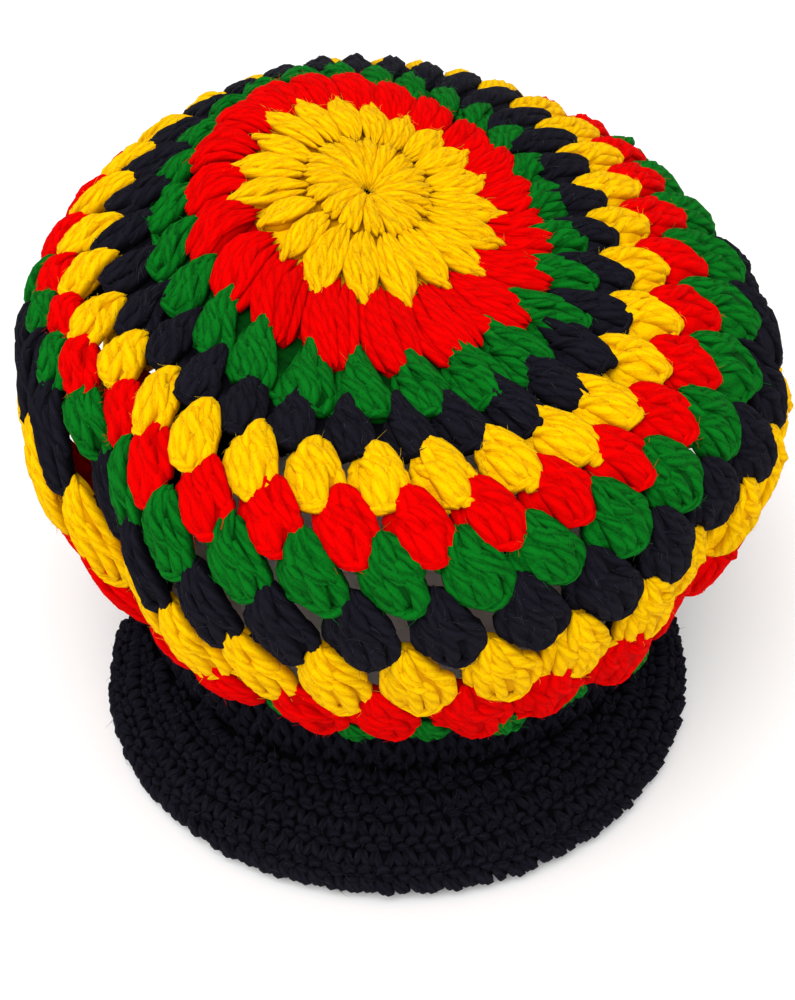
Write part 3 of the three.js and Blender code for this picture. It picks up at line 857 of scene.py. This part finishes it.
WEDGE = StitchForm(
    half_width=(0.66, 0.62, 0.58, 0.57),
    height=(-1.0, 2.6, 3.8, 3.6),
    strands=(
        Strand((-1.0, -0.9, -0.8), (0.0, 0.5, 0.99), (0.0, -0.1, -0.2)),
        Strand((0.0, 0.0, 0.0), (0.0, 0.5, 1.04), (0.1, 0.2, 0.2)),
        Strand((1.0, 0.9, 0.8), (0.0, 0.5, 0.99), (0.0, -0.1, -0.2)),
        Strand((-0.9, -0.3, 0.4), (0.42, 0.66, 0.92), (-0.3, 0.3, 0.0), 0.8, 2.0),
    ),
    edge_drop=0.4,
    skew=0.0,
    yarn_radius=1.6,
)

SINGLE_CROCHET = (
    Strand((-0.12, -0.62, -0.86), (1.1, 0.1, -1.0), (-0.5, 0.35, -0.4)),
    Strand((0.12, 0.62, 0.86), (1.1, 0.1, -1.0), (-0.5, 0.35, -0.4)),
)
TURNED_CROCHET = (
    Strand((-1.05, -0.35, 0.3), (-0.1, -0.55, -0.2), (-0.6, 0.5, 0.1)),
    Strand((-0.3, 0.35, 1.05), (0.1, 0.6, 0.2), (0.0, 0.4, -0.6)),
)
WHIPPED_RIM = (Strand((-0.5, 0.0, 0.5), (-0.9, 0.0, 0.9), (-0.2, 0.2, -0.2)),)
ROLLED_EDGE = (
    Strand((-0.9, -0.3, 0.2), (-0.9, -0.2, 0.9), (-0.6, 0.5, -0.5)),
    Strand((0.0, 0.5, 0.9), (-0.9, 0.1, 0.8), (-0.6, 0.3, -0.6)),
)


@dataclass
class StitchRound:
    """One round of stitches of one colour.

    first_angle places one stitch, in degrees. The stitches reach from top_row to foot_row,
    fullness scales their width at the belly, broad_foot at the foot, and puff how far they stand
    out. bunch draws the stitches together at the front and the back, by that share of their width.
    longer is the share by which those on the right side, round right_angle, are longer. The
    uneven values are chance differences of a stitch's place, lean and length. Each one lies at
    its own angle, one of tops, with its own tilt from the common lean and its own reach. Strands
    join the feet of a bridged round, and matted yarn lies under all of a backed one.
    """

    node: str
    yarn: Yarn
    count: int
    first_angle: float
    top_row: float
    foot_row: float
    form: StitchForm = CLUSTER
    fullness: float = 1.0
    broad_foot: float = 1.0
    puff: float = 1.0
    bunch: float = 0.0
    longer: float = 0.0
    right_angle: float = 75.0
    right_spread: float = 65.0
    lean: float = 0.18
    uneven: float = 0.02
    uneven_place: float = 0.02
    uneven_lean: float = 0.07
    bridged: bool = True
    bridge_radius: float = 1.3 * MM
    backed: bool = False
    lining_gap: float = 0.25
    lining_sunk: float = 2.2
    hairs: int = 44
    crown: Crown = field(init=False)
    work: Stitching = field(init=False)
    tops: np.ndarray = field(init=False)
    tilt: np.ndarray = field(init=False)
    reach: np.ndarray = field(init=False)

    @property
    def pitch(self) -> float:
        """Degrees from one stitch to the next."""
        return 360 / self.count

    def row(self, down: np.ndarray) -> np.ndarray:
        """Row at a share of the way from the top to the foot."""
        return self.top_row + (self.foot_row - self.top_row) * down

    def bunched(self, angle: np.ndarray) -> np.ndarray:
        """Draw angles together round the front and the back, with the sine of twice the angle."""
        return angle - np.degrees(self.bunch / 2) * np.sin(np.radians(2 * angle))

    def lay(self, across: np.ndarray, down: np.ndarray, height: np.ndarray,
            thickness: float) -> tuple[np.ndarray, np.ndarray]:
        """Place a stitch's own coordinates on the crown.

        The angle is the stitch's own, plus its lean times the square of the way down less 0.35,
        plus across times the half width there less half the yarn. The row runs evenly from the
        top row to the foot row.

        Args:
            across: shares of the half width.
            down: shares of the height.
            height: metres above the wall's centre line.
            thickness: metres of yarn beyond the outermost centre line.

        Returns:
            Points, and the directions out of the fabric.
        """
        share = np.clip(down, 0, 1)
        width = read_profile(self.form.half_width, down)
        width = width * (1 + (self.fullness - 1) * np.sin(np.pi * share)
                         + (self.broad_foot - 1) * share ** 4)
        row = self.row(down * self.reach)
        metres = np.maximum(self.crown.girth(row) / self.count, 0.1 * MM)
        half = np.maximum(width - thickness / metres, 0.04)
        lean = (self.lean + self.tilt) * (down ** 2 - 0.35)
        angle = self.bunched(self.tops + self.pitch * (lean + across * half))
        normal = self.crown.normal(row, angle)
        return self.crown.point(row, angle) + normal * height[..., None], normal

    def build(self, crown: Crown, work: Stitching) -> Stitching:
        """Lay every strand of every stitch, over a soft body that closes each stitch.

        A strand's height is the form's height there times the puff, less its radius, plus its
        lift, the skew times across, and less the edge drop times the square of across.

        Args:
            crown: the surface.
            work: the piece that the round belongs to.

        Returns:
            The same piece.
        """
        self.crown, self.work = crown, work
        rng, form, strands = work.rng, self.form, self.form.strands
        tops = np.arange(self.count) + rng.normal(0, self.uneven_place, self.count)
        tops = self.first_angle + self.pitch * tops
        tilt = rng.normal(0, self.uneven_lean, self.count)
        reach = 1 + rng.normal(0, self.uneven, self.count)
        from_right = (tops + 180) % 360 - 180 - self.right_angle
        reach = reach + self.longer * np.exp(-(from_right / self.right_spread) ** 2)
        self.tops, self.tilt, self.reach = (v[:, None, None] for v in (tops, tilt, reach))
        shape = (self.count, len(strands), 1)
        thickness, stray = np.array([(s.thickness, s.stray) for s in strands]).T[..., None]
        sway = form.stray_across * (1 + np.sin(np.pi * ALONG))
        across, down, lift = strand_curves(strands)
        across = across + sway * stray * rng.normal(0, 1, shape)
        down = down + form.stray_down * stray * rng.normal(0, 1, shape)
        lift = lift + form.stray_up * rng.normal(0, 1, shape) - END_DIP
        radius = form.yarn_radius * thickness * END_ROUND
        radius = radius * (1 + rng.normal(0, form.stray_thickness, shape))
        # The yarn thins towards the top, where all the strands come out of one place.
        radius = radius * np.minimum(1, 0.45 + 1.4 * np.abs(down) ** 0.6)
        top = read_profile(form.height, down) * self.puff
        lift = lift + form.skew * across - form.edge_drop * across ** 2
        height = (top - radius + lift) * MM
        centres, ups = self.lay(across, down, height, form.yarn_radius * MM)
        work.tubes(centres, ups, radius * MM, hairs=self.hairs * self.count)
        self.add_bodies()
        if self.bridged:
            self.add_bridges()
        if self.backed:
            foot_row = self.foot_row - self.lining_gap
            work.closed_grid(crown.lining(self.top_row, foot_row, self.lining_sunk), wraps=True)
        return work

    def add_bodies(self) -> None:
        """Add the soft inside of each stitch: flattened rings from its top to its foot.

        A ring's across runs as the cosine and its height as the sine of the turn round it.
        """
        down = np.linspace(0.06, 0.94, 9)[:, None]
        turn = corner_turns(10)
        swell = np.sqrt(1 - 0.9 * np.abs(2 * down - 1) ** 4)
        across = np.cos(turn) * swell
        radius = self.form.yarn_radius
        upper = read_profile(self.form.height, down) * self.puff - 0.65 * radius
        lower = -self.crown.wall / 2 / MM
        fall = 0.5 * self.form.edge_drop * across ** 2 - 0.7 * self.form.skew * across
        height = ((upper + lower) / 2 + (upper - lower) / 2 * np.sin(turn) * swell - fall) * MM
        points, _ = self.lay(across, down, height, 0.6 * radius * MM)
        length = self.crown.girth(self.foot_row) / self.count / MM
        self.work.closed_grid(points, length * down[:, 0])

    def add_bridges(self) -> None:
        """Join the feet of neighbouring stitches with a strand that sags in between by a sine."""
        t = np.linspace(0, 1, 9)
        sag = np.sin(np.pi * t)
        angle = self.bunched(self.tops[:, 0] + self.pitch * (self.lean * 0.6 + t))
        row = self.row(0.93 - 0.05 * sag)
        normal = self.crown.normal(row, angle)
        centres = self.crown.point(row, angle) + normal * ((0.8 - 1.6 * sag) * MM)[:, None]
        self.work.tubes(centres, normal, self.bridge_radius)

    def dress(self, crown: Crown, seed: int) -> None:
        """Build the round as a piece of its own, with its own start of the random draws."""
        self.build(crown, Stitching(seed)).piece(self.node, self.yarn)


# The ten rounds of clusters from the yellow centre down to the band.
CROWN_ROUNDS = (
    StitchRound("red_round_1", Yarn.RED, 20, 6.0, 0.84, 2.14, form=BROAD_CLUSTER, backed=True,
                longer=0.40, uneven=0.04, bridged=False),
    StitchRound("green_round_1", Yarn.GREEN, 26, -3.0, 1.68, 3.02, backed=True, fullness=1.12,
                broad_foot=1.2, longer=0.38),
    StitchRound("black_round_1", Yarn.BLACK, 32, 5.6, 2.42, 4.24, backed=True, bunch=0.03,
                longer=0.1),
    StitchRound("yellow_round_1", Yarn.YELLOW, 32, 0.0, 3.72, 5.32, bunch=0.09),
    StitchRound("red_round_2", Yarn.RED, 32, 5.6, 4.76, 6.13, bunch=0.09, lean=0.14),
    StitchRound("green_round_2", Yarn.GREEN, 32, 0.0, 5.53, 6.94, bunch=0.09, lean=0.06,
                fullness=0.95, broad_foot=1.2),
    StitchRound("black_round_2", Yarn.BLACK, 32, 5.6, 6.50, 8.04, bunch=0.06, lean=0.06,
                fullness=0.93, broad_foot=1.2),
    StitchRound("yellow_round_2", Yarn.YELLOW, 32, 0.0, 7.64, 9.05, bunch=0.02, lean=0.06,
                fullness=0.92, broad_foot=1.5),
    StitchRound("red_round_3", Yarn.RED, 28, 7.0, 8.66, 9.86, puff=0.85, lean=0.08,
                broad_foot=1.2),
    StitchRound("green_round_3", Yarn.GREEN, 28, 0.6, 9.58, 10.93, fullness=1.04, puff=0.6,
                lean=0.08),
)


@dataclass
class CrownCentre:
    """The yellow centre: a round of wedges round the hole and a round of pointed petals.

    The wedges reach from the row hole to ring, and the petals from just short of it to tips.
    disc holds the rows of both edges of the soft disc under them.
    """

    node: str = "yellow_centre"
    yarn: Yarn = Yarn.YELLOW
    hole: float = 0.045
    ring: float = 0.46
    tips: float = 1.05
    disc: tuple[float, float] = (0.105, 0.9)
    disc_sunk: float = 1.4

    def dress(self, crown: Crown) -> None:
        """Lay both rounds over a soft disc, as one piece.

        Args:
            crown: the surface.
        """
        wedges = StitchRound(self.node, self.yarn, 16, 2.0, self.hole, self.ring, form=WEDGE,
                             lean=0.1, bridged=False)
        petals = StitchRound(self.node, self.yarn, 20, -3.0, self.ring - 0.02, self.tips,
                             form=PETAL, lean=0.12, uneven=0.12, bridged=False)
        work = wedges.build(crown, Stitching(21))
        work.rng = np.random.default_rng(22)
        petals.build(crown, work)
        work.closed_grid(crown.lining(*self.disc, self.disc_sunk), wraps=True)
        work.piece(self.node, self.yarn)


@dataclass
class Peak:
    """The short peak: rows of single crochet that follow its front edge, on both faces.

    Angles are in degrees and radii of yarn in millimetres. sunk is the metres from a face in to
    the middle lines of its stitches.
    """

    band: Band
    reach: float = 42 * MM
    fullness: float = 1.15
    turn: float = -3
    half_angle: float = 77
    wall: float = 8 * MM
    edge_wall: float = 5 * MM
    arch: float = 4 * MM
    clearance: float = 0.6 * MM
    seam_gap: float = 0.5 * MM
    row_height: float = 5.0 * MM
    stitch_width: float = 4.9 * MM
    yarn_radius: float = 1.6
    edge_height: float = 4.4 * MM
    edge_radius: float = 1.8
    sunk: float = 1.3 * MM
    work: Stitching = field(default_factory=partial(Stitching, seed=41))

    def reach_at(self, angle: np.ndarray) -> np.ndarray:
        """How far the peak stands out of the band: a power of the cosine of the angle."""
        return self.reach * np.cos(np.radians(angle - self.turn)) ** self.fullness

    def underside(self, angle: np.ndarray, share: np.ndarray) -> np.ndarray:
        """Height of the lower face: it arches up in the middle and droops towards its edge."""
        return self.clearance + self.arch * np.cos(np.radians(angle)) ** 2 * (1 - 0.5 * share)

    def point(self, angle: np.ndarray, share: np.ndarray,
              through: np.ndarray | float) -> np.ndarray:
        """Points of the peak.

        Args:
            angle: degrees round the head.
            share: 0 at the band to 1 at the front edge.
            through: 0 at the lower face to 1 at the upper one.

        Returns:
            Points in metres with a last axis of 3.
        """
        thick = self.wall - (self.wall - self.edge_wall) * np.clip(share, 0, 1) ** 4
        height = self.underside(angle, share) + through * thick
        out = self.band.wall / 2 + self.seam_gap + self.reach_at(angle) * share
        return self.band.point(angle, height, out)

    def row_places(self, distance: float, through: float, lower: bool = False) -> Frames:
        """Places of the stitches of one row.

        The row keeps its distance from the front edge, and its stitches are spaced evenly along
        it. Their directions come from the surface's own slopes.

        Args:
            distance: metres from the front edge.
            through: 0 at the lower face to 1 at the upper one.
            lower: True for the lower face, whose stitches look down.

        Returns:
            The places from the left end to the right one.
        """
        angle = np.linspace(-self.half_angle, self.half_angle, 601)
        share = 1 - distance / self.reach_at(angle)
        line = self.point(angle, share, through)
        on_peak = share[1:] > 0.03
        steps = np.linalg.norm(np.diff(line, axis=0), axis=-1) * on_peak
        length = np.concatenate([[0], np.cumsum(steps)])
        count = max(int(round(length[-1] / self.stitch_width)), 1)
        wanted = (np.arange(count) + 0.5) * length[-1] / count
        angle = np.interp(wanted, length + np.arange(len(length)) * 1e-12, angle)
        share, share_after = (1 - distance / self.reach_at(angle + step) for step in (0, 0.5))
        middle = self.point(angle, share, through)
        side = unit(self.point(angle + 0.5, share_after, through) - middle)
        ahead = unit(self.point(angle, share + 0.05, through) - middle)
        out = unit(np.cross(side, ahead))
        out = out * np.where(out[:, 2:] < 0, -1, 1) * (-1 if lower else 1)
        ahead = unit(np.cross(out, side))
        ahead = ahead * np.sign((ahead * self.band.normal(angle)).sum(-1, keepdims=True))
        return Frames(middle - out * self.sunk, side, ahead, out, self.stitch_width,
                      self.row_height)

    def dress(self) -> None:
        """Lay the core, the rows of both faces and the rolled edge as one piece."""
        self.add_core()
        for row in range(int(self.reach / self.row_height)):
            strands = SINGLE_CROCHET if row % 2 else TURNED_CROCHET
            distance = (row + 0.75) * self.row_height
            for frames in self.row_places(distance, 1.0), self.row_places(distance, 0.0, True):
                self.work.loops(frames, strands, self.yarn_radius)
        self.add_edge()
        self.work.piece("peak", Yarn.BLACK)

    def add_core(self) -> None:
        """Add the closed crescent that the stitches lie on, a little thinner than the peak."""
        angle = np.linspace(-self.half_angle, self.half_angle, 61)[:, None]
        share = np.array([0.02, 0.35, 0.7, 0.92, 0.92, 0.7, 0.35, 0.02])
        through = np.array([0.8, 0.8, 0.8, 0.75, 0.25, 0.2, 0.2, 0.2])
        self.work.closed_grid(self.point(angle, share, through)[None])

    def add_edge(self) -> None:
        """Roll the front edge with a row of fat loops that look out of the hat."""
        frames = self.row_places(1.0 * MM, 0.5)
        across, along = (frames.middle[:, :2] - self.band.middle).T
        out = self.band.normal(np.degrees(np.arctan2(across, -along)))
        edge = replace(frames, middle=frames.middle + frames.out * self.sunk, out=out,
                       ahead=np.broadcast_to([0.0, 0.0, -1.0], out.shape),
                       height=self.edge_height)
        self.work.loops(edge, ROLLED_EDGE, self.edge_radius)


# Camera, light and floor


@dataclass(frozen=True)
class Studio:
    """A pale floor, soft light all round, and the photograph's camera."""

    focal_pixels: float = 1568.7
    stand: Three = (-2.14 * MM, -415.35 * MM, 389 * MM)
    target: Three = (-3.05 * MM, 5.05 * MM, 36.3 * MM)
    roll: float = -0.94
    floor_half: float = 6.0
    softbox_stand: Three = (-0.5, -1.3, 2.3)
    softbox_target: Three = (0.0, 0.0, 0.08)
    softbox_size: float = 2.2
    softbox_power: float = 42
    sky_strength: float = 1.05

    def place_camera(self) -> None:
        """Set the camera: it looks from its stand at its target, then rolls."""
        camera = bpy.data.cameras.new("photo_camera")
        camera.sensor_width = 36
        camera.lens = self.focal_pixels / IMAGE_HEIGHT * camera.sensor_width
        camera.clip_start, camera.clip_end = 0.01, 20
        holder = bpy.data.objects.new("photo_camera", camera)
        back = (Vector(self.stand) - Vector(self.target)).normalized()
        right = Vector((0, 0, 1)).cross(back).normalized()
        up = back.cross(right)
        turn = math.radians(self.roll)
        right, up = (right * math.cos(turn) + up * math.sin(turn),
                     up * math.cos(turn) - right * math.sin(turn))
        matrix = Matrix((right, up, back)).transposed().to_4x4()
        matrix.translation = Vector(self.stand)
        holder.matrix_world = matrix
        bpy.context.scene.collection.objects.link(holder)
        bpy.context.scene.camera = holder

    def lay_floor(self) -> None:
        """Lay a plain pale floor under the hat."""
        mesh = bpy.data.meshes.new("floor")
        corners = ((-1, -1), (1, -1), (1, 1), (-1, 1))
        mesh.from_pydata([(x * self.floor_half, y * self.floor_half, 0) for x, y in corners],
                         [], [(0, 1, 2, 3)])
        # Matt paper has no gloss, so that only the hat's soft shadow shows on it.
        material = bpy.data.materials.new("matt_paper")
        material.use_nodes = True
        shader = material.node_tree.nodes["Principled BSDF"]
        shader.inputs["Base Color"].default_value = srgb("f4f4f4")
        shader.inputs["Roughness"].default_value = 0.9
        mesh.materials.append(material)
        floor = bpy.data.objects.new("floor", mesh)
        bpy.context.scene.collection.objects.link(floor)

    def hang_softbox(self) -> None:
        """Hang a square soft light that looks at the hat."""
        light = bpy.data.lights.new("key_softbox", "AREA")
        light.size, light.energy = self.softbox_size, self.softbox_power
        holder = bpy.data.objects.new("key_softbox", light)
        holder.location = self.softbox_stand
        aim = Vector(self.softbox_target) - Vector(self.softbox_stand)
        holder.rotation_euler = aim.to_track_quat("-Z", "Y").to_euler()
        bpy.context.scene.collection.objects.link(holder)

    def set_up(self) -> None:
        """Place everything."""
        self.place_camera()
        self.lay_floor()
        self.hang_softbox()
        world = bpy.data.worlds.new("studio")
        world.use_nodes = True
        shader = world.node_tree.nodes["Background"]
        shader.inputs["Color"].default_value = (1, 1, 1, 1)
        shader.inputs["Strength"].default_value = self.sky_strength
        bpy.context.scene.world = world
        bpy.context.scene.view_settings.view_transform = "Standard"


def main() -> None:
    """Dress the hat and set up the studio."""
    logging.basicConfig(level=logging.INFO, format="%(message)s")
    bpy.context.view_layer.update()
    Studio().set_up()
    band = Band()
    crown = Crown(band)
    CrownCentre().dress(crown)
    for seed, stitches in enumerate(CROWN_ROUNDS, 1):
        stitches.dress(crown, seed)
    band.dress()
    Peak(band).dress()


if __name__ == "__main__":
    main()
